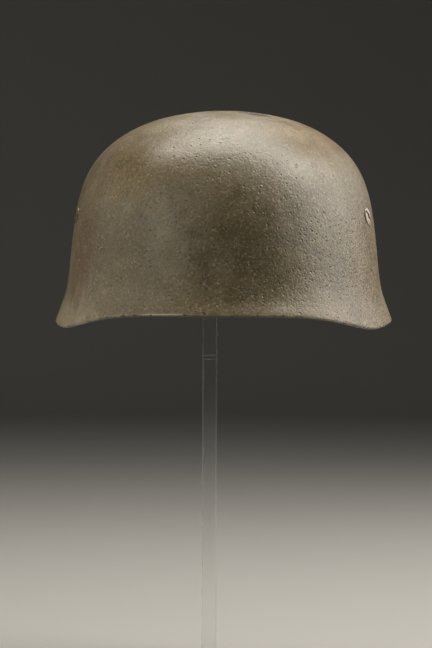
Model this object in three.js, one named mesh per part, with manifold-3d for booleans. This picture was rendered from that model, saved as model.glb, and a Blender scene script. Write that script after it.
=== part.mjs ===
// A steel paratrooper helmet shell with its four hollow bolts, on a clear post stand.
// Units are millimetres and +Z is up. The brow faces -Y, and the wearer's left ear is at +X.
// The origin lies on the surface under the stand, below the middle of the shell.
import * as THREE from "three";
import { mergeVertices } from "three/addons/utils/BufferGeometryUtils.js";
import Module from "manifold-3d";

const wasm = await Module();
wasm.setup();

// Shell sizes
const halfWidth = 118; // middle to the outside of the rim, over an ear
const browReach = 130; // ear line to the rim at the brow
const napeReach = 139; // ear line to the rim at the nape
const shellDepth = 150.3; // crown to the outside face's end where the rim hangs lowest
const wall = 1.2; // steel sheet
const hemThickness = 3; // the rolled edge, two sheets and the fold
const hemHeight = 6; // how far the rolled edge reaches up inside

// Bolt sizes: a low domed head with a vent bore and a slot, and a nut inside the shell
const boltDrop = 75; // crown to the bolt's axis
const browBoltTurn = 67.5; // degrees from the brow, measured round the ear line
const browBoltStray = 0.8; // degrees by which the brow pair is punched off true, towards the left ear
const napeBoltTurn = 110;
const headRadius = 5.8;
const headHeight = 0.9;
const headEdge = 0.3; // height of the head's upright edge
const shankRadius = 3.6;
const boreRadius = 1.9;
const slotWidth = 1.8;
const slotDepth = 0.6;
const nutWidth = 12; // across the flats
const nutThickness = 3.5;
const threadStub = 1.5; // shank that stands past the nut

// Stand sizes: a square base, a square post and a rest cut to the crown's curve
const rimHeight = 262; // lowest outside edge of the rim above the surface
const baseWidth = 160;
const baseThickness = 10;
const baseCorner = 6;
const bevel = 1;
const postWidth = 10;
const postShift = -10.5; // the post stands off the shell's middle, towards the wearer's right ear
const restRadius = 28;
const restThickness = 9; // at the rest's edge
const socketDepth = 4; // how far the post sits in the base and in the rest

const clearance = 0.3; // between pieces that seat on each other

// Mesh fineness
const aroundSteps = 64;
const downSteps = 20;
const rollSteps = 4;
const roundSteps = 24;

// One row for each section of the shell from crown to rim. depth is a share of the height at that place,
// and side, brow and nape are shares of halfWidth, browReach and napeReach. power rounds the section:
// 2 is an ellipse, and more is squarer.
const sections = [
  { depth: 0, side: 0, brow: 0, nape: 0, power: 2 },
  { depth: 0.014, side: 0.237, brow: 0.247, nape: 0.242, power: 2 },
  { depth: 0.055, side: 0.449, brow: 0.472, nape: 0.457, power: 2.02 },
  { depth: 0.125, side: 0.62, brow: 0.648, nape: 0.632, power: 2.06 },
  { depth: 0.22, side: 0.752, brow: 0.778, nape: 0.762, power: 2.12 },
  { depth: 0.325, side: 0.829, brow: 0.856, nape: 0.84, power: 2.18 },
  { depth: 0.44, side: 0.872, brow: 0.9, nape: 0.882, power: 2.22 },
  { depth: 0.56, side: 0.895, brow: 0.924, nape: 0.904, power: 2.25 },
  { depth: 0.68, side: 0.911, brow: 0.937, nape: 0.915, power: 2.27 },
  { depth: 0.79, side: 0.924, brow: 0.946, nape: 0.923, power: 2.28 },
  { depth: 0.87, side: 0.942, brow: 0.956, nape: 0.938, power: 2.28 },
  { depth: 0.94, side: 0.973, brow: 0.974, nape: 0.967, power: 2.28 },
  { depth: 1, side: 1, brow: 1, nape: 1, power: 2.28 },
];

// The rim's outline, the same on both sides: turn is degrees from the brow, round the ear line, and rise is
// the height above the lowest place as a share of shellDepth.
const rimOutline = [
  { turn: 0, rise: 0.059 },
  { turn: 15, rise: 0.059 },
  { turn: 30, rise: 0.052 },
  { turn: 43, rise: 0.025 },
  { turn: 54, rise: 0 },
  { turn: 64, rise: 0.005 },
  { turn: 76, rise: 0.022 },
  { turn: 90, rise: 0.03 },
  { turn: 120, rise: 0.037 },
  { turn: 150, rise: 0.04 },
  { turn: 180, rise: 0.04 },
];

// The bolts: turn is degrees from the brow, and slot is how far the head's slot leans from upright.
const boltPlaces = [
  { place: "brow_left", turn: browBoltTurn + browBoltStray, slot: 53 },
  { place: "brow_right", turn: -browBoltTurn + browBoltStray, slot: 15 },
  { place: "nape_left", turn: napeBoltTurn, slot: -60 },
  { place: "nape_right", turn: -napeBoltTurn, slot: 80 },
];

const earLine = (browReach - napeReach) / 2; // keeps the shell's box over the origin
const crownHeight = rimHeight + shellDepth;
const lastRow = sections.length - 1;
const radians = THREE.MathUtils.degToRad;

// A smooth curve through a column of values at row number u. before and after stand for the rows past each end.
function through(values, u, before, after) {
  const i = Math.min(Math.floor(u), values.length - 2);
  const t = u - i;
  const a = values[i - 1] ?? before;
  const [b, c] = [values[i], values[i + 1]];
  const d = values[i + 2] ?? after;
  const bend = 2 * a - 5 * b + 4 * c - d;
  const twist = 3 * b - a - 3 * c + d;
  return b + (t * (c - a + t * (bend + t * twist))) / 2;
}

// A column of the section table at row number u. At the crown the reaches run on mirrored and the depth even.
function section(name, u) {
  const values = sections.map((row) => row[name]);
  const even = name === "depth" || name === "power";
  const before = even ? values[1] : -values[1];
  return through(values, u, before, 2 * values[lastRow] - values[lastRow - 1]);
}

// The row number where a rising function of it reaches a value.
function rowWhere(rising, value) {
  let [low, high] = [0, lastRow];
  for (let i = 0; i < 40; i++) {
    const middle = (low + high) / 2;
    if (rising(middle) < value) low = middle;
    else high = middle;
  }
  return (low + high) / 2;
}

// Height of the rim above its lowest place, at a turn from the brow on either side.
function rimRise(turn) {
  const folded = Math.abs(((turn + 540) % 360) - 180);
  let i = 0;
  while (i < rimOutline.length - 2 && rimOutline[i + 1].turn < folded) i++;
  const [from, to] = [rimOutline[i], rimOutline[i + 1]];
  const rises = rimOutline.map((row) => row.rise);
  const u = i + (folded - from.turn) / (to.turn - from.turn);
  return shellDepth * through(rises, u, rises[1], rises.at(-2));
}

// Distance from the ear line's middle to the outside face, level, at a turn and a row number.
function reach(turn, u) {
  const [along, across] = [Math.cos(radians(turn)), Math.sin(radians(turn))];
  const ahead = along > 0 ? section("brow", u) * browReach : section("nape", u) * napeReach;
  const power = section("power", u);
  const sum = Math.abs(across / (section("side", u) * halfWidth)) ** power + Math.abs(along / ahead) ** power;
  return sum ** (-1 / power);
}

function outside(turn, u) {
  const radius = u > 0 ? reach(turn, u) : 0;
  return new THREE.Vector3(
    radius * Math.sin(radians(turn)),
    earLine - radius * Math.cos(radians(turn)),
    crownHeight - section("depth", u) * (shellDepth - rimRise(turn)),
  );
}

// The outside face's tangent towards the rim and its outward normal.
function faceAt(turn, u) {
  const nudge = 0.02;
  const down = outside(turn, Math.min(u + nudge, lastRow)).sub(outside(turn, Math.max(u - nudge, 0)));
  const round = outside(turn + 1, u).sub(outside(turn - 1, u));
  return { down: down.normalize(), normal: down.clone().cross(round).normalize() };
}

// A face a set distance inside the outside face.
function inset(turn, u, distance) {
  return outside(turn, u).addScaledVector(faceAt(turn, u).normal, -distance);
}

// A closed solid from rings of points, each ring a loop of the same count, between two end points.
function solidOfRings(start, rings, end) {
  const positions = [start, ...rings.flat(), end].flatMap((p) => p.toArray());
  const count = rings[0].length;
  const last = 1 + rings.length * count;
  const faces = [];
  for (let j = 0; j < count; j++) {
    const k = (j + 1) % count;
    faces.push(0, 1 + j, 1 + k);
    rings.slice(1).forEach((ring, i) => {
      const [a, b] = [1 + i * count, 1 + (i + 1) * count];
      faces.push(a + j, b + j, b + k, a + j, b + k, a + k);
    });
    faces.push(last, last - count + k, last - count + j);
  }
  return new THREE.BufferGeometry()
    .setAttribute("position", new THREE.Float32BufferAttribute(positions, 3))
    .setIndex(faces);
}

function toManifold(geometry) {
  const bare = geometry.clone().deleteAttribute("normal").deleteAttribute("uv");
  const merged = mergeVertices(bare, 1e-4);
  return new wasm.Manifold(
    new wasm.Mesh({
      numProp: 3,
      vertProperties: new Float32Array(merged.attributes.position.array),
      triVerts: new Uint32Array(merged.index.array),
    }),
  );
}

function cut(geometry, ...tools) {
  const left = tools.reduce((solid, tool) => solid.subtract(toManifold(tool)), toManifold(geometry));
  const mesh = left.getMesh();
  return new THREE.BufferGeometry()
    .setAttribute("position", new THREE.Float32BufferAttribute(mesh.vertProperties, 3))
    .setIndex(new THREE.BufferAttribute(mesh.triVerts, 1));
}

const turns = Array.from({ length: aroundSteps }, (_, j) => (360 * j) / aroundSteps);

// The row numbers where the rolled edge begins inside the shell, and where the plain wall ends above it.
const depthShare = (u) => section("depth", u);
const hemRow = rowWhere(depthShare, 1 - hemHeight / shellDepth);
const stepRow = rowWhere(depthShare, 1 - (hemHeight + hemThickness - wall) / shellDepth);

// The pressed shell: outside face from crown to rim, round the rolled edge, and the inside face back up.
function shellGeometry() {
  const rows = Array.from({ length: downSteps }, (_, i) => (stepRow * (i + 1)) / downSteps);
  const edge = [hemRow, (hemRow + lastRow) / 2, lastRow];
  const out = [...rows, ...edge].map((u) => turns.map((turn) => outside(turn, u)));
  const rollRadius = hemThickness / 2;
  const roll = Array.from({ length: rollSteps - 1 }, (_, i) => {
    const angle = (Math.PI * (i + 1)) / rollSteps;
    return turns.map((turn) => {
      const { down, normal } = faceAt(turn, lastRow);
      return inset(turn, lastRow, rollRadius)
        .addScaledVector(normal, rollRadius * Math.cos(angle))
        .addScaledVector(down, rollRadius * Math.sin(angle));
    });
  });
  const hem = edge.reverse().map((u) => turns.map((turn) => inset(turn, u, hemThickness)));
  const inside = rows.reverse().map((u) => turns.map((turn) => inset(turn, u, wall)));
  const crown = outside(0, 0);
  const crownInside = crown.clone().setZ(crown.z - wall);
  return solidOfRings(crown, [...out, ...roll, ...hem, ...inside], crownInside);
}

// A bolt's place: its point on the outside face, with Y along the outward normal and Z as near upright as it can be.
function boltFrame(turn) {
  const u = rowWhere((row) => section("depth", row) * (shellDepth - rimRise(turn)), boltDrop);
  const { normal } = faceAt(turn, u);
  const side = normal.clone().cross(new THREE.Vector3(0, 0, 1)).normalize();
  const upright = side.clone().cross(normal);
  const matrix = new THREE.Matrix4().makeBasis(side, normal, upright).setPosition(outside(turn, u));
  return { turn, u, matrix };
}

// How far the inside face stands in past its middle under a nut, so that the nut's flat face clears it.
function bulgeUnder(frame) {
  const toFrame = frame.matrix.clone().invert();
  const corner = nutWidth / Math.sqrt(3);
  const turnStep = THREE.MathUtils.radToDeg(corner / reach(frame.turn, frame.u));
  const rowStep = (corner * lastRow) / (shellDepth + halfWidth);
  const heights = [-1, 0, 1].flatMap((i) =>
    [-1, 0, 1].map((j) => {
      const point = inset(frame.turn + i * turnStep, frame.u + j * rowStep, wall);
      return -wall - point.applyMatrix4(toFrame).y;
    }),
  );
  return Math.max(...heights);
}

const nutSeat = (frame) => wall + bulgeUnder(frame) + clearance;

function boltGeometry(frame, slotTurn) {
  const tip = -(nutSeat(frame) + nutThickness + threadStub);
  const seat = clearance;
  const top = seat + headHeight;
  const profile = [
    [boreRadius, tip],
    [shankRadius, tip],
    [shankRadius, seat],
    [headRadius, seat],
    [headRadius, seat + headEdge],
    [headRadius * 0.86, seat + (headEdge + headHeight * 2) / 3],
    [headRadius * 0.6, top],
    [boreRadius, top],
    [boreRadius, tip],
  ].map(([radius, along]) => new THREE.Vector2(radius, along));
  const turned = new THREE.LatheGeometry(profile, roundSteps);
  const slot = new THREE.BoxGeometry(slotWidth, 2 * slotDepth, 3 * headRadius)
    .rotateY(radians(slotTurn))
    .translate(0, top, 0);
  return cut(turned, slot).applyMatrix4(frame.matrix);
}

function nutGeometry(frame) {
  const corners = Array.from({ length: 6 }, (_, i) => {
    const angle = (Math.PI * i) / 3;
    return new THREE.Vector2(Math.cos(angle), Math.sin(angle)).multiplyScalar(nutWidth / Math.sqrt(3));
  });
  const hexagon = new THREE.Shape(corners);
  hexagon.holes.push(new THREE.Path().absarc(0, 0, shankRadius + clearance, 0, 2 * Math.PI, true));
  return new THREE.ExtrudeGeometry(hexagon, {
    depth: nutThickness,
    bevelEnabled: false,
    curveSegments: roundSteps / 2,
  })
    .rotateX(Math.PI / 2)
    .translate(0, -nutSeat(frame), 0)
    .applyMatrix4(frame.matrix);
}

function boltHole(frame) {
  return new THREE.CylinderGeometry(
    shankRadius + clearance,
    shankRadius + clearance,
    2 * (hemThickness + headHeight),
    roundSteps,
  ).applyMatrix4(frame.matrix);
}

// Height of the inside face over a point of the plan.
function ceiling(x, y) {
  const turn = THREE.MathUtils.radToDeg(Math.atan2(x, earLine - y));
  const radius = Math.hypot(x, y - earLine);
  const u = rowWhere((row) => (row > 0 ? reach(turn, row) : 0), radius);
  return outside(turn, u).z - wall / faceAt(turn, u).normal.z;
}

const squareHole = (height) =>
  new THREE.BoxGeometry(postWidth + 2 * clearance, postWidth + 2 * clearance, height);

// The rest under the crown: a disc whose top follows the inside face, with a square socket below.
function restGeometry() {
  const ringAt = (radius) =>
    Array.from({ length: roundSteps }, (_, i) => {
      const angle = (2 * Math.PI * i) / roundSteps;
      const [x, y] = [postShift + radius * Math.cos(angle), radius * Math.sin(angle)];
      return new THREE.Vector3(x, y, ceiling(x, y) - clearance);
    });
  const top = [0.33, 0.67, 1].map((share) => ringAt(share * restRadius));
  const edgeHeight = Math.min(...top.at(-1).map((p) => p.z));
  const underside = edgeHeight - restThickness;
  const foot = top.at(-1).map((p) => p.clone().setZ(underside));
  const middle = new THREE.Vector3(postShift, 0, ceiling(postShift, 0) - clearance);
  const disc = solidOfRings(middle, [...top, foot], middle.clone().setZ(underside));
  const socket = squareHole(2 * socketDepth).translate(postShift, 0, underside);
  return { geometry: cut(disc, socket), underside };
}

function baseGeometry() {
  const half = baseWidth / 2 - bevel;
  const inner = half - baseCorner;
  const plan = new THREE.Shape()
    .absarc(inner, inner, baseCorner, 0, Math.PI / 2)
    .absarc(-inner, inner, baseCorner, Math.PI / 2, Math.PI)
    .absarc(-inner, -inner, baseCorner, Math.PI, 1.5 * Math.PI)
    .absarc(inner, -inner, baseCorner, 1.5 * Math.PI, 2 * Math.PI);
  const slab = new THREE.ExtrudeGeometry(plan, {
    depth: baseThickness - 2 * bevel,
    bevelEnabled: true,
    bevelThickness: bevel,
    bevelSize: bevel,
    bevelSegments: 1,
    curveSegments: 5,
  }).translate(0, 0, bevel);
  return cut(slab, squareHole(2 * socketDepth).translate(0, 0, baseThickness));
}

const paint = new THREE.MeshStandardMaterial({ color: 0x847a63, roughness: 0.55, metalness: 0.1 });
const boltPaint = new THREE.MeshStandardMaterial({ color: 0x8f8772, roughness: 0.5, metalness: 0.2 });
const bareNut = new THREE.MeshStandardMaterial({ color: 0x5c5750, roughness: 0.6, metalness: 0.6 });
const acrylic = new THREE.MeshStandardMaterial({
  color: 0xe6ecec,
  roughness: 0.08,
  metalness: 0,
  transparent: true,
  opacity: 0.35,
});

const helmet = new THREE.Group();

function add(name, geometry, material) {
  const mesh = new THREE.Mesh(geometry, material);
  mesh.name = name;
  helmet.add(mesh);
  return mesh;
}

const bolts = boltPlaces.map((row) => ({ ...row, frame: boltFrame(row.turn) }));
const holes = bolts.map(({ frame }) => boltHole(frame));
add("shell", cut(shellGeometry(), ...holes), paint);
for (const { place, frame, slot } of bolts) {
  add("bolt_" + place, boltGeometry(frame, slot), boltPaint);
  add("nut_" + place, nutGeometry(frame), bareNut);
}

const rest = restGeometry();
const postFoot = baseThickness - socketDepth + clearance;
const postHead = rest.underside + socketDepth - clearance;
const post = new THREE.BoxGeometry(postWidth, postWidth, postHead - postFoot);

add("stand_rest", rest.geometry, acrylic);
add("stand_post", post, acrylic).position.set(postShift, 0, (postHead + postFoot) / 2);
add("stand_base", baseGeometry(), acrylic).position.x = postShift;

export default helmet;
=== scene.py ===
import math

import bpy
from mathutils import Euler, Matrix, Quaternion, Vector


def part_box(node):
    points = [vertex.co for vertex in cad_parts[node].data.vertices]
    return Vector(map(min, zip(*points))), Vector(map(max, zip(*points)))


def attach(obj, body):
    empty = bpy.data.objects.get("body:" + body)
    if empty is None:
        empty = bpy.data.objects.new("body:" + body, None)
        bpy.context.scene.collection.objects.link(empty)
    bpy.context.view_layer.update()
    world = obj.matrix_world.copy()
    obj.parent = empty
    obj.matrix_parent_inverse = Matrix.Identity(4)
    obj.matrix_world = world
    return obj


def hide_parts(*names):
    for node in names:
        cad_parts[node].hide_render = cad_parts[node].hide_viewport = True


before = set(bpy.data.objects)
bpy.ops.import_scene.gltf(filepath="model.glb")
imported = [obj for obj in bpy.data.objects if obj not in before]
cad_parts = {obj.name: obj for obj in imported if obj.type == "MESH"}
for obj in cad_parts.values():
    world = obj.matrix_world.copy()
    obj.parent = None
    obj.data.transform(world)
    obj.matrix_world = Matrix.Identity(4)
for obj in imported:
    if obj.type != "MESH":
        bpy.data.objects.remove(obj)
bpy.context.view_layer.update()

# Camera
# A long lens almost level with the rim, a little to the wearer's left of the brow. It is aimed beside the
# helmet's middle and turned a quarter of a degree, so that the picture lies as the photograph does.
camera_distance = 1.5
camera_turn = math.radians(4)
camera_tilt = math.radians(1)
camera_roll = math.radians(0.25)
camera_above_rim = 0.0284
camera_aside = -0.0063
pixels_per_metre = 1407.6
picture_height = 648

rim_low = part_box("shell")[0].z
sight = Euler((math.pi / 2 - camera_tilt, 0, camera_turn)).to_quaternion()
aside = Vector((math.cos(camera_turn), math.sin(camera_turn), 0)) * camera_aside
stand_point = Vector((math.sin(camera_turn), -math.cos(camera_turn), 0)) * camera_distance
bpy.ops.object.camera_add(location=stand_point + aside + Vector((0, 0, rim_low + camera_above_rim)))
camera = bpy.context.object
camera.rotation_mode = "QUATERNION"
camera.rotation_quaternion = sight @ Quaternion((0, 0, 1), camera_roll)
camera.data.lens = camera.data.sensor_width * pixels_per_metre * camera_distance / picture_height
camera.data.clip_end = 30
bpy.context.scene.camera = camera


# Shell
# One sheet of 1.2 mm steel, pressed to a deep dome, flared at the foot and rolled inward along its edge.
# It carries a sandy field paint that has worn to a satin grey-tan, with pits, grain and brown stains.
def copy_node(node, name):
    """A copy of a solid, with its loose triangles joined."""
    piece = bpy.data.objects.new(name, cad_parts[node].data.copy())
    bpy.context.scene.collection.objects.link(piece)
    bpy.ops.object.select_all(action="DESELECT")
    piece.select_set(True)
    bpy.context.view_layer.objects.active = piece
    bpy.ops.object.mode_set(mode="EDIT")
    bpy.ops.mesh.select_all(action="SELECT")
    bpy.ops.mesh.remove_doubles(threshold=1e-6)
    bpy.ops.mesh.select_all(action="DESELECT")
    bpy.ops.object.mode_set(mode="OBJECT")
    return piece


def settle(piece, node, material):
    piece.data.materials.clear()
    piece.data.materials.append(material)
    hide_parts(node)
    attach(piece, "root")


class Finish:
    """A material made of layers. Each method adds a node and gives its output."""

    def __init__(self, name):
        self.material = bpy.data.materials.new(name)
        self.material.use_nodes = True
        self.tree = self.material.node_tree
        self.shader = self.tree.nodes["Principled BSDF"]
        self.place = self.node("TexCoord").outputs["Object"]

    def node(self, kind, **settings):
        node = self.tree.nodes.new("ShaderNode" + kind)
        for name, value in settings.items():
            setattr(node, name, value)
        return node

    def feed(self, socket, value):
        if isinstance(value, bpy.types.NodeSocket):
            self.tree.links.new(value, socket)
        else:
            socket.default_value = value

    def set(self, **inputs):
        for name, value in inputs.items():
            self.feed(self.shader.inputs[name.replace("_", " ")], value)

    def stretched(self, centre=(0, 0, 0), size=(1, 1, 1), turned=(0, 0, 0)):
        mapping = self.node("Mapping", vector_type="TEXTURE")
        self.feed(mapping.inputs["Vector"], self.place)
        self.feed(mapping.inputs["Location"], centre)
        self.feed(mapping.inputs["Rotation"], turned)
        self.feed(mapping.inputs["Scale"], size)
        return mapping.outputs["Vector"]

    def noise(self, size, detail=3, roughness=0.55, place=None):
        """A cloudy pattern whose clouds have about this size in metres."""
        noise = self.node("TexNoise")
        self.feed(noise.inputs["Vector"], place or self.place)
        self.feed(noise.inputs["Scale"], 1 / size)
        self.feed(noise.inputs["Detail"], detail)
        self.feed(noise.inputs["Roughness"], roughness)
        return noise.outputs["Fac"]

    def cells(self, spacing):
        """Round cells. Gives the distance from a cell's middle, and a number drawn for each cell."""
        cells = self.node("TexVoronoi")
        self.feed(cells.inputs["Vector"], self.place)
        self.feed(cells.inputs["Scale"], 1 / spacing)
        draw = self.node("SeparateXYZ")
        self.feed(draw.inputs[0], cells.outputs["Color"])
        return cells.outputs["Distance"], draw.outputs["X"]

    def between(self, value, low, high, start=0, end=1):
        """A share that runs smoothly from start, where the value is low, to end, where it is high."""
        share = self.node("MapRange", interpolation_type="SMOOTHSTEP")
        self.feed(share.inputs["Value"], value)
        self.feed(share.inputs["From Min"], low)
        self.feed(share.inputs["From Max"], high)
        self.feed(share.inputs["To Min"], start)
        self.feed(share.inputs["To Max"], end)
        return share.outputs["Result"]

    def maths(self, operation, *values):
        maths = self.node("Math", operation=operation)
        for socket, value in zip(maths.inputs, values):
            self.feed(socket, value)
        return maths.outputs["Value"]

    def times(self, value, share):
        return self.maths("MULTIPLY", value, share)

    def plus(self, value, more):
        return self.maths("ADD", value, more)

    def minus(self, value, less):
        return self.maths("SUBTRACT", value, less)

    def line(self, value, top, full_top, full_foot, foot):
        """1 where the value lies between full_foot and full_top, fading to 0 at foot and top."""
        return self.minus(self.between(value, top, full_top), self.between(value, full_foot, foot))

    def distance(self, start, end=(0, 0, 0)):
        distance = self.node("VectorMath", operation="DISTANCE")
        self.feed(distance.inputs[0], start)
        self.feed(distance.inputs[1], end)
        return distance.outputs["Value"]

    def stain(self, under, colour, amount):
        mix = self.node("Mix", data_type="RGBA")
        self.feed(mix.inputs[0], amount)
        self.feed(mix.inputs[6], under)
        self.feed(mix.inputs[7], (*colour, 1) if isinstance(colour, tuple) else colour)
        return mix.outputs[2]

    def relief(self, height, depth):
        bump = self.node("Bump")
        self.feed(bump.inputs["Height"], height)
        self.feed(bump.inputs["Distance"], depth)
        return bump.outputs["Normal"]


fold_angle = math.radians(60)
smoothing_steps = 2
shell = copy_node("shell", "steel_shell")
bpy.ops.object.mode_set(mode="EDIT")
bpy.ops.mesh.select_all(action="SELECT")
bpy.ops.mesh.tris_convert_to_quads(face_threshold=math.radians(40), shape_threshold=fold_angle)
bpy.ops.mesh.select_all(action="DESELECT")
bpy.ops.mesh.select_mode(type="EDGE")
bpy.ops.mesh.edges_select_sharp(sharpness=fold_angle)
bpy.ops.transform.edge_crease(value=1)
bpy.ops.mesh.select_all(action="DESELECT")
bpy.ops.object.mode_set(mode="OBJECT")
bpy.ops.object.modifier_add(type="SUBSURF")
smoothing = shell.modifiers[-1]
smoothing.levels = smoothing.render_levels = smoothing_steps
bpy.ops.object.modifier_apply(modifier=smoothing.name)
bpy.ops.object.shade_smooth()

# Two measures of each point, for the wear: its height above the rim below it, and how far it faces inward
hollow_middle_height = 0.06
middle = Vector((0, 0, rim_low + hollow_middle_height))
rim_steps = 96


def rim_step(point):
    """How many steps round the rim a point lies, from the brow towards the left ear."""
    return (math.atan2(point.x, -point.y) / math.tau % 1) * rim_steps


rim_heights = [math.inf] * rim_steps
for vertex in shell.data.vertices:
    step = int(rim_step(vertex.co)) % rim_steps
    rim_heights[step] = min(rim_heights[step], vertex.co.z)
above_rim = shell.data.attributes.new("above_rim", "FLOAT", "POINT")
inwardness = shell.data.attributes.new("inwardness", "FLOAT", "POINT")
for vertex in shell.data.vertices:
    around = rim_step(vertex.co) - 0.5
    first = math.floor(around)
    share = around - first
    rim = rim_heights[first % rim_steps] * (1 - share) + rim_heights[(first + 1) % rim_steps] * share
    above_rim.data[vertex.index].value = vertex.co.z - rim
    inwardness.data[vertex.index].value = -vertex.normal.dot((vertex.co - middle).normalized())

olive = (0.160, 0.125, 0.068)
field_grey = (0.162, 0.140, 0.094)
ochre = (0.180, 0.127, 0.057)
peach = (0.210, 0.148, 0.090)
clay = (0.200, 0.145, 0.100)
smoke = (0.080, 0.066, 0.029)
dust = (0.36, 0.32, 0.22)
glinting_bare_steel = (0.75, 0.70, 0.58)
rust = (0.125, 0.062, 0.022)
umber = (0.050, 0.028, 0.020)
dirt = (0.036, 0.024, 0.012)
oil = (0.030, 0.022, 0.024)
grey_green = (0.060, 0.064, 0.046)


def way_to(turn, lift):
    """The turn of a mark, in degrees round from the brow towards the left ear and then up, and its place.

    Both angles are seen from the middle of the hollow, and the place is on the outside of the shell.
    """
    around = Euler((math.radians(-lift), 0, math.radians(turn)))
    way = around.to_matrix() @ Vector((0, -1, 0))
    return around, shell.ray_cast(middle + way, -way)[1]


def spot(finish, turn, lift, across, tall):
    """How far a point lies from a broad mark: 0 at its middle, 1 at its edge. Half sizes in millimetres."""
    around, place = way_to(turn, lift)
    size = Vector((across, max(across, tall), tall)) / 1000
    return finish.distance(finish.stretched(place, size, around))


def nearest(finish, marks, radius):
    """How far a point lies from the nearest of some small round marks, which have one radius in metres."""
    reach = 2 * radius
    for turn, lift in marks:
        reach = finish.maths("MINIMUM", reach, finish.distance(finish.place, way_to(turn, lift)[1]))
    return finish.maths("DIVIDE", reach, radius)


paint = Finish("worn_field_paint")
blotch = paint.noise(size=0.055, detail=5)
mottle = paint.noise(size=0.011, detail=4, roughness=0.6)
grain = paint.noise(size=0.0016, detail=3, roughness=0.65)
ragged = paint.between(mottle, 0.3, 0.7, -0.35, 0.35)
colour = paint.stain((*olive, 1), field_grey, paint.between(blotch, 0.38, 0.66, end=0.7))
flush = paint.noise(size=0.030, detail=4, place=paint.stretched(centre=(0.31, 0.17, 0.05)))
colour = paint.stain(colour, clay, paint.between(flush, 0.46, 0.68, end=0.55))

# Broad tints, each with its turn, lift, half width, half height and strength. Some stand in for light and
# shade, as noted.
tints = (
    (ochre, -29, 20, 40, 30, 0.9),
    (ochre, -38, -9, 42, 38, 0.65),
    (ochre, 4, -20, 40, 10, 0.6),
    # This one darkens the middle of the brow: painted shade.
    (smoke, 13.5, -8, 27, 50, 0.65),
    (rust, -45, 0, 28, 32, 0.8),
    (rust, -31, -3, 24, 28, 0.3),
    # These two darken the wearer's right side of the brow: painted shade.
    (smoke, -30, -4, 28, 32, 0.35),
    (smoke, -41, -4, 18, 36, 0.5),
    # This one dims the lower edge of the highlight on the crown: painted shade.
    (smoke, -24, 27, 14, 10, 0.35),
    (smoke, 43, -8, 24, 34, 0.38),
    (peach, 45, 40, 42, 30, 0.8),
    (peach, 67, -10, 45, 50, 0.7),
    (field_grey, 28, 7, 22, 34, 0.9),
    (clay, -56, -24, 50, 24, 0.9),
    (clay, 59, -24, 50, 18, 0.6),
    (clay, 11, -19, 11, 5, 0.9),
    (dust, -13.5, 2, 9, 6, 0.4),
    (dust, -28.5, 10, 7, 9, 0.35),
    # This one lightens the brow beside its middle, on the wearer's right: painted light.
    (dust, -13, -1, 20, 38, 0.3),
    (dust, 20, -19, 20, 7, 0.28),
    # Pale dust on the wearer's right flare, lightened further as painted light.
    (dust, -54, -25, 46, 20, 0.7),
    (dust, 38, 56, 26, 10, 0.2),
    # This one and the next lighten the crown on both sides of its highlight: painted highlight.
    (dust, -31, 45, 28, 12, 0.25),
    (dust, 42, 40, 24, 13, 0.3),
    # This one and the next dim the highlight on the crown: painted shade.
    (field_grey, 19, 32, 20, 12, 0.6),
    (smoke, 20, 32, 20, 14, 0.36),
    (smoke, 5, 54, 12, 6, 0.4),
)
for tint, turn, lift, across, tall, strength in tints:
    edge = paint.plus(spot(paint, turn, lift, across, tall), ragged)
    colour = paint.stain(colour, tint, paint.between(edge, 1.15, 0.35, end=strength))
smear = paint.noise(size=0.020, detail=5, roughness=0.6)
colour = paint.stain(colour, smoke, paint.between(smear, 0.48, 0.3, end=0.6))
colour = paint.stain(colour, dust, paint.between(smear, 0.52, 0.74, end=0.2))

# Brown runs of rust that water left down the wearer's right side, and fainter ones all round
runs = paint.noise(size=1, detail=3, place=paint.stretched(size=(0.004, 0.004, 0.055)))
streaked = paint.between(spot(paint, turn=-54, lift=-4, across=26, tall=36), 1.2, 0.3)
colour = paint.stain(colour, rust, paint.times(streaked, paint.between(runs, 0.38, 0.6, 0.15, 0.85)))
colour = paint.stain(colour, rust, paint.between(runs, 0.6, 0.8, end=0.25))

# Grain and specks, in patches, and darker on the wearer's left
patches = paint.noise(size=0.013, detail=3, place=paint.stretched(centre=(0.11, 0.23, 0.37)))
colour = paint.stain(colour, dirt, paint.between(grain, 0.46, 0.28, end=0.65))
left_half = paint.plus(spot(paint, turn=58, lift=0, across=60, tall=80), ragged)
left_side = paint.between(left_half, 1.2, 0.5, end=0.45)
colour = paint.stain(colour, dirt, paint.times(left_side, paint.between(grain, 0.52, 0.4)))
pale_patches = paint.between(patches, 0.38, 0.62, 0.35, 0.9)
colour = paint.stain(colour, dust, paint.times(paint.between(grain, 0.52, 0.72), pale_patches))
speck_distance, speck_draw = paint.cells(spacing=0.006)
kept_specks = paint.between(speck_draw, 0.7, 0.72)
specks = paint.times(paint.between(speck_distance, 0.13, 0.06), kept_specks)
colour = paint.stain(colour, dust, paint.times(specks, 0.16))

# Pits, thick on the wearer's left half of the brow, with the deepest where the photograph shows them
pit_distance, pit_draw = paint.cells(spacing=0.0034)
pitted_side = paint.plus(spot(paint, turn=34, lift=-8, across=60, tall=55), ragged)
pit_share = paint.between(pitted_side, 0.5, 1.5, 0.22, 0.78)
kept_pits = paint.maths("GREATER_THAN", pit_draw, pit_share)
pits = paint.times(paint.between(pit_distance, 0.3, 0.1), kept_pits)
colour = paint.stain(colour, dirt, paint.times(pits, paint.between(grain, 0.35, 0.6, 0.25, 0.8)))
deep_pit_radius = 0.0012
deep_pits = (
    (-15.5, 30),
    (-45.5, 28.5),
    (-22.5, 38),
    (47, 40),
    (31, 5.5),
    (31, -0.5),
    (26, -10.5),
    (28, -11.5),
    (33, -14),
    (36, -16.5),
    (18, -17.5),
    (2, -12.5),
    (-11.5, -17),
    (-6.5, 34),
    (-5.5, 31),
    (-9, 30.5),
    (43, 2),
)
small_pit_radius = 0.0008
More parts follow.
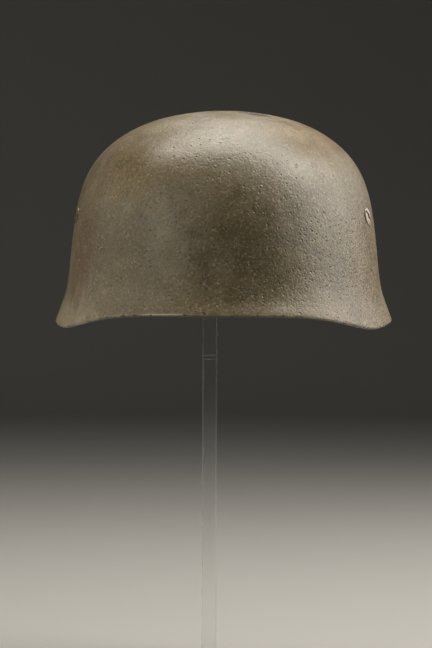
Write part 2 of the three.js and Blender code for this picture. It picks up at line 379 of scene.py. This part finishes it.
small_pits = (
    (-21.5, 38),
    (-20, 36),
    (-16, 34.5),
    (-13.5, 33.5),
    (-4, 36),
    (-4.5, 32),
    (3, 34),
    (5, 34),
    (19, 35),
    (16, 37),
    (-6.5, 25),
    (-1.5, 24.5),
    (-2.5, 22.5),
    (-9, 25.5),
    (8.5, 25),
    (48.5, -3),
    (58, -2.5),
    (63, 22),
)
deep_reach = nearest(paint, deep_pits, deep_pit_radius)
small_reach = nearest(paint, small_pits, small_pit_radius)
pit_reach = paint.maths("MINIMUM", deep_reach, small_reach)
pit_cores = paint.between(pit_reach, 0.75, 0.3)
pit_lips = paint.line(pit_reach, 1.5, 1.1, 1.1, 0.7)
colour = paint.stain(colour, dirt, paint.times(pit_cores, 0.85))
colour = paint.stain(colour, dust, paint.times(pit_lips, 0.35))

# Small blisters under the paint, each a rubbed dot in a dark ring
blister_radius = 0.0016
blisters = (
    (38, 17),
    (37.5, 20),
    (28.5, 23.5),
    (15, 16),
    (27.5, 3),
    (0.5, 22.5),
    (-26.5, 10),
    (-6, 26.5),
    (1.5, -18.5),
)
blister_reach = nearest(paint, blisters, blister_radius)
blister_tops = paint.between(blister_reach, 0.55, 0.2)
moats = paint.line(blister_reach, 1.3, 0.9, 0.85, 0.5)
colour = paint.stain(colour, dirt, paint.times(moats, 0.22))
colour = paint.stain(colour, dust, paint.times(blister_tops, 0.4))

# The stain on the crown, oily in front and rusty behind
oily = paint.plus(spot(paint, turn=30.5, lift=61, across=8, tall=12), ragged)
spilled = paint.between(oily, 1.15, 0.75)
colour = paint.stain(colour, oil, paint.times(spilled, 0.97))
rusty = paint.plus(spot(paint, turn=24, lift=61.5, across=8, tall=11), ragged)
soaked = paint.between(rusty, 1.2, 0.7)
colour = paint.stain(colour, umber, paint.times(soaked, 0.9))
stained = paint.maths("MAXIMUM", spilled, soaked)

# Grime round the bolt heads, and a painted shadow of the head beside the left one at the brow
bolt_places = ("brow_left", "brow_right", "nape_left", "nape_right")
grime_reach = 0.0074
painted_shadow_spot = ((67.5, 5.5),)
painted_shadow_radius = 0.0016
bolt_feet = grime_reach
for place in bolt_places:
    low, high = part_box("bolt_" + place)
    bolt_feet = paint.maths("MINIMUM", bolt_feet, paint.distance(paint.place, (low + high) / 2))
colour = paint.stain(colour, dirt, paint.between(bolt_feet, grime_reach, grime_reach * 0.9, end=0.15))
# A dark spot beside the head of the left bolt at the brow: a painted shadow.
painted_bolt_shadow = paint.between(nearest(paint, painted_shadow_spot, painted_shadow_radius), 1.1, 0.5, end=0.85)
colour = paint.stain(colour, dirt, painted_bolt_shadow)

# The rim, by its height in metres: a painted highlight along a line above the fold, a thin line of bare steel
# that is also a painted glint on the wearer's right, and brown steel on the fold where the paint has chipped
# off, with the foot of the fold darkened all round as painted shade
rim_height = paint.node("Attribute", attribute_name="above_rim").outputs["Fac"]
# A painted highlight along the line above the fold, where the rim turns to the light.
painted_rim_highlight = paint.line(rim_height, 0.0028, 0.0018, 0.0014, 0.0008)
colour = paint.stain(colour, dust, paint.times(painted_rim_highlight, paint.between(smear, 0.42, 0.6, 0.1, 0.6)))
# A thin line of bare steel on the wearer's right, which is also a painted glint.
thin_line = paint.line(rim_height, 0.0018, 0.0014, 0.0012, 0.0008)
bare_stretch = spot(paint, turn=-13.5, lift=-20, across=19, tall=10)
bare_glint_line = paint.times(thin_line, paint.between(bare_stretch, 1.1, 0.4))
colour = paint.stain(colour, glinting_bare_steel, bare_glint_line)
# Dark chips along the fold, and the foot of the fold darkened all round as painted shade.
chipping = paint.noise(size=0.0035, detail=2)
chips_and_fold_shade = paint.plus(rim_height, paint.between(chipping, 0.54, 0.74, 0, -0.0030))
colour = paint.stain(colour, dirt, paint.between(chips_and_fold_shade, 0.0009, 0.0004, end=0.92))

# The inside, a darker grey-green that has stained brown
inside = paint.between(paint.node("Attribute", attribute_name="inwardness").outputs["Fac"], 0.1, 0.4)
lining_paint = paint.stain((*grey_green, 1), rust, paint.between(blotch, 0.46, 0.62, end=0.55))
lining_paint = paint.stain(lining_paint, rust, paint.between(runs, 0.5, 0.75, end=0.6))
lining_paint = paint.stain(lining_paint, dirt, paint.between(grain, 0.5, 0.3, end=0.6))
lining_paint = paint.stain(lining_paint, dust, paint.between(smear, 0.5, 0.75, end=0.25))
colour = paint.stain(colour, lining_paint, inside)

# The relief, in millimetres: grain and waves in the paint, flatter on both shoulders, with pits and blisters
relief_depth = 0.001
left_shoulder = spot(paint, turn=38, lift=24, across=40, tall=30)
right_shoulder = spot(paint, turn=-28, lift=24, across=40, tall=30)
shoulders = paint.maths("MINIMUM", left_shoulder, right_shoulder)
height = paint.plus(grain, paint.times(mottle, 1.45))
height = paint.times(height, paint.between(shoulders, 0.5, 1.2, 0.2, 0.35))
height = paint.minus(height, paint.times(pits, 0.2))
height = paint.minus(height, paint.times(pit_cores, 0.3))
height = paint.plus(height, paint.times(blister_tops, 0.25))
height = paint.minus(height, paint.times(moats, 0.08))
roughness = paint.between(mottle, 0.3, 0.7, 0.33, 0.42)
roughness = paint.plus(roughness, paint.times(stained, 0.45))
roughness = paint.plus(roughness, paint.times(streaked, 0.15))
roughness = paint.plus(roughness, paint.times(inside, 0.25))
paint.set(
    Base_Color=colour,
    Roughness=roughness,
    Specular_IOR_Level=0.8,
    Metallic=bare_glint_line,
    Normal=paint.relief(height, relief_depth),
)
settle(shell, "shell", paint.material)


# Bolts
# Four hollow steel bolts, turned and slotted, that hold the lining on a worn helmet and let air through.
# Each passes through the shell and is painted with it; the domed head is rubbed to a lighter tone.
rubbed_paint = (0.50, 0.44, 0.34)
old_grime = (0.16, 0.11, 0.06)
hollow_shade_black = (0.012, 0.009, 0.006)
bolt_finish = Finish("rubbed_bolt_paint")
bolt_grain = bolt_finish.noise(size=0.0012, detail=3)
bolt_colour = bolt_finish.stain((*rubbed_paint, 1), old_grime, bolt_finish.between(bolt_grain, 0.48, 0.33))
# The heads on the wearer's right are painted darker, as painted shade.
side = bolt_finish.node("SeparateXYZ")
bolt_finish.feed(side.inputs[0], bolt_finish.place)
shaded_right_heads = bolt_finish.between(side.outputs["X"], 0.02, -0.02, end=0.95)
bolt_colour = bolt_finish.stain(bolt_colour, smoke, shaded_right_heads)
# The side wall of each head is lightened: painted light on a face that lies in shade.
lit_head_edges = bolt_finish.node("Attribute", attribute_name="head_edge").outputs["Fac"]
bolt_colour = bolt_finish.stain(bolt_colour, dust, bolt_finish.times(lit_head_edges, 0.6))
# The bore and the slot's walls and floor are painted near black: painted shade in the hollows.
shaded_hollows = bolt_finish.node("Attribute", attribute_name="hollow").outputs["Fac"]
bolt_finish.set(
    Base_Color=bolt_finish.stain(bolt_colour, hollow_shade_black, shaded_hollows),
    Roughness=0.45,
    Metallic=0.15,
    Normal=bolt_finish.relief(bolt_grain, 0.00008),
)


def round_edges(piece, width, smoothest=35):
    """Rounds edges that turn by over 35 degrees, and shades smooth those that turn by under smoothest."""
    bpy.ops.object.modifier_add(type="BEVEL")
    edge = piece.modifiers[-1]
    edge.width = width
    edge.segments = 2
    edge.limit_method = "ANGLE"
    edge.angle_limit = math.radians(35)
    bpy.ops.object.modifier_apply(modifier=edge.name)
    bpy.ops.object.shade_smooth_by_angle(angle=math.radians(smoothest))


def clean_copy(node, name):
    piece = copy_node(node, name)
    bpy.ops.object.mode_set(mode="EDIT")
    bpy.ops.mesh.select_all(action="SELECT")
    bpy.ops.mesh.dissolve_limited(angle_limit=math.radians(1))
    bpy.ops.mesh.select_all(action="DESELECT")
    bpy.ops.object.mode_set(mode="OBJECT")
    return piece


def middle_of(node):
    points = [vertex.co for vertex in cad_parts[node].data.vertices]
    return sum(points, Vector()) / len(points)


# Depths are measured down from the top of the head, and the bore's reach from the bolt's axis.
head_depth = 0.0012
slot_depth = 0.0009
dome_depth = 0.0004
underside_depth = 0.002
bore_reach = 0.0025
paint_gap = 0.0005
for place in bolt_places:
    bolt = clean_copy("bolt_" + place, "vent_bolt_" + place)
    foot = middle_of("nut_" + place)
    axis = (middle_of("bolt_" + place) - foot).normalized()
    head_top = max(vertex.co.dot(axis) for vertex in bolt.data.vertices)
    head_radius = max((vertex.co - foot).cross(axis).length for vertex in bolt.data.vertices)
    hollow = bolt.data.attributes.new("hollow", "FLOAT", "FACE")
    head_edge = bolt.data.attributes.new("head_edge", "FLOAT", "FACE")
    for face in bolt.data.polygons:
        depth = head_top - face.center.dot(axis)
        reach = (face.center - foot).cross(axis).length
        upward = face.normal.dot(axis)
        upright = abs(upward) < 0.3
        inner = reach < head_radius * 0.93
        bore = upright and reach < bore_reach
        slot_wall = upright and inner and depth < slot_depth
        slot_floor = upward > 0.9 and depth > dome_depth
        head_edge.data[face.index].value = upright and not inner and depth < head_depth
        hollow.data[face.index].value = bore or slot_wall or slot_floor
        face.select = upward < -0.9 and depth < underside_depth
    # The paint joins the head to the shell, so the head's underside is pushed on to the sheet.
    bpy.ops.object.mode_set(mode="EDIT")
    bpy.ops.transform.translate(value=axis * -paint_gap)
    bpy.ops.mesh.select_all(action="DESELECT")
    bpy.ops.object.mode_set(mode="OBJECT")
    round_edges(bolt, 0.00015)
    settle(bolt, "bolt_" + place, bolt_finish.material)


# Nuts
# Plain hexagon nuts, cut from steel bar that has browned with age. Each is screwed on to its bolt against
# the inside of the shell.
dull_steel = (0.16, 0.14, 0.12)
brown_steel = (0.12, 0.06, 0.03)
nut_finish = Finish("browned_steel")
nut_wear = nut_finish.noise(size=0.003, detail=5)
nut_finish.set(
    Base_Color=nut_finish.stain((*dull_steel, 1), brown_steel, nut_finish.between(nut_wear, 0.45, 0.65)),
    Roughness=nut_finish.between(nut_wear, 0.3, 0.7, 0.4, 0.65),
    Metallic=0.8,
    Normal=nut_finish.relief(nut_wear, 0.0001),
)
for place in bolt_places:
    nut = clean_copy("nut_" + place, "hexagon_nut_" + place)
    round_edges(nut, 0.0003)
    settle(nut, "nut_" + place, nut_finish.material)


# Stand
# A square bar of clear acrylic, glued into the socket of a clear base and of a disc that fits the crown.
# The faces are polished and finely scratched by dusting, and the sawn edges are eased and flamed.
acrylic = Finish("clear_acrylic")
haze = acrylic.noise(size=0.012, detail=6)
clouded = acrylic.node("Attribute", attribute_name="eased").outputs["Fac"]
# Two fine scratches run level round the bar, this far below the rim.
scratch_drops = (0.0200, 0.0228)
level = acrylic.node("SeparateXYZ")
acrylic.feed(level.inputs[0], acrylic.place)
for drop in scratch_drops:
    off_line = acrylic.maths("ABSOLUTE", acrylic.minus(level.outputs["Z"], rim_low - drop))
    clouded = acrylic.maths("MAXIMUM", clouded, acrylic.between(off_line, 0.0005, 0.0001, end=0.8))
acrylic.set(
    Base_Color=(0.93, 0.96, 0.95, 1),
    Roughness=acrylic.between(haze, 0.45, 0.75, 0.02, 0.07),
    Transmission_Weight=acrylic.minus(0.985, acrylic.times(clouded, 0.3)),
    IOR=1.49,
    Alpha=0.5,
)
for node, name, edge in (
    ("stand_post", "clear_post", 0.0004),
    ("stand_rest", "crown_rest", 0.0006),
    ("stand_base", "clear_base", 0.0004),
):
    piece = clean_copy(node, name)
    round_edges(piece, edge, smoothest=20)
    eased = piece.data.attributes.new("eased", "FLOAT", "FACE")
    for face in piece.data.polygons:
        slanting = max(abs(part) for part in face.normal) < 0.98
        eased.data[face.index].value = slanting and node != "stand_rest"
    settle(piece, node, acrylic.material)


# Floor
# A pale paper floor that curves up into a wall all round, far outside the lights, so that no edge shows
# behind the helmet from any side.
floor_radius = 3.3
cove_radius = 1.5
wall_height = 1.5
cove_steps = 10
bpy.ops.mesh.primitive_circle_add(vertices=96, radius=floor_radius, fill_type="NGON", location=(0, 0, 0))
floor = bpy.context.object
floor.name = "paper_floor"
bpy.ops.object.mode_set(mode="EDIT")
bpy.ops.mesh.select_mode(type="EDGE")
bpy.ops.mesh.select_all(action="SELECT")
bpy.ops.mesh.region_to_loop()
reach = floor_radius
for step in range(1, cove_steps + 1):
    turn = math.radians(90 * step / cove_steps)
    last = math.radians(90 * (step - 1) / cove_steps)
    rise = cove_radius * (math.cos(last) - math.cos(turn))
    spread = floor_radius + cove_radius * math.sin(turn)
    bpy.ops.mesh.extrude_region_move(TRANSFORM_OT_translate={"value": (0, 0, rise)})
    bpy.ops.transform.resize(value=(spread / reach, spread / reach, 1))
    reach = spread
bpy.ops.mesh.extrude_region_move(TRANSFORM_OT_translate={"value": (0, 0, wall_height)})
bpy.ops.mesh.select_all(action="SELECT")
bpy.ops.mesh.normals_make_consistent(inside=True)
bpy.ops.mesh.select_all(action="DESELECT")
bpy.ops.object.mode_set(mode="OBJECT")
bpy.ops.object.shade_smooth()
paper = Finish("pale_paper")
paper.set(Base_Color=(0.38, 0.375, 0.365, 1), Roughness=0.9)
floor.data.materials.append(paper.material)


# Light
# Soft boxes: one overhead that reaches behind the crown, strong ones at the right of the picture, and weaker,
# warmer ones at its left. Little light comes from the camera's side, so the middle of the brow stays dark.
warm_white = (1, 0.95, 0.87)
amber_white = (1, 0.93, 0.75)
aim = Vector((0, 0, rim_low + 0.08))


def soft_box(name, turn, lift, distance, size, power, colour=warm_white):
    """A soft box that faces the helmet. It turns from the camera's side towards the right of the picture."""
    turn, lift = math.radians(turn), math.radians(lift)
    way = Vector((math.sin(turn) * math.cos(lift), -math.cos(turn) * math.cos(lift), math.sin(lift)))
    bpy.ops.object.light_add(type="AREA", location=aim + way * distance)
    light = bpy.context.object
    light.name = name
    light.rotation_mode = "QUATERNION"
    light.rotation_quaternion = way.to_track_quat("Z", "Y")
    light.data.shape = "RECTANGLE"
    light.data.size, light.data.size_y = size
    light.data.energy = power
    light.data.color = colour
    light.visible_camera = False


soft_box("overhead_box", 0, 90, 1.2, (1.4, 0.5), 16.2)
soft_box("back_box", 180, 60, 1.2, (0.6, 0.6), 3.8)
soft_box("right_high_box", 80, 50, 1.3, (0.5, 0.5), 5.2)
soft_box("right_box", 95, 25, 1.4, (1.4, 1.4), 18.2)
soft_box("right_back_box", 135, 20, 1.5, (0.8, 0.8), 1.7)
soft_box("left_box", -90, 12, 1.5, (1.6, 0.9), 4.2, amber_white)
soft_box("left_front_box", -45, 17, 1.7, (1.2, 1.2), 5.1, amber_white)
world = bpy.context.scene.world or bpy.data.worlds.new("studio")
bpy.context.scene.world = world
world.use_nodes = True
world.node_tree.nodes["Background"].inputs["Color"].default_value = (0.02, 0.02, 0.02, 1)
bpy.context.scene.view_settings.view_transform = "Standard"
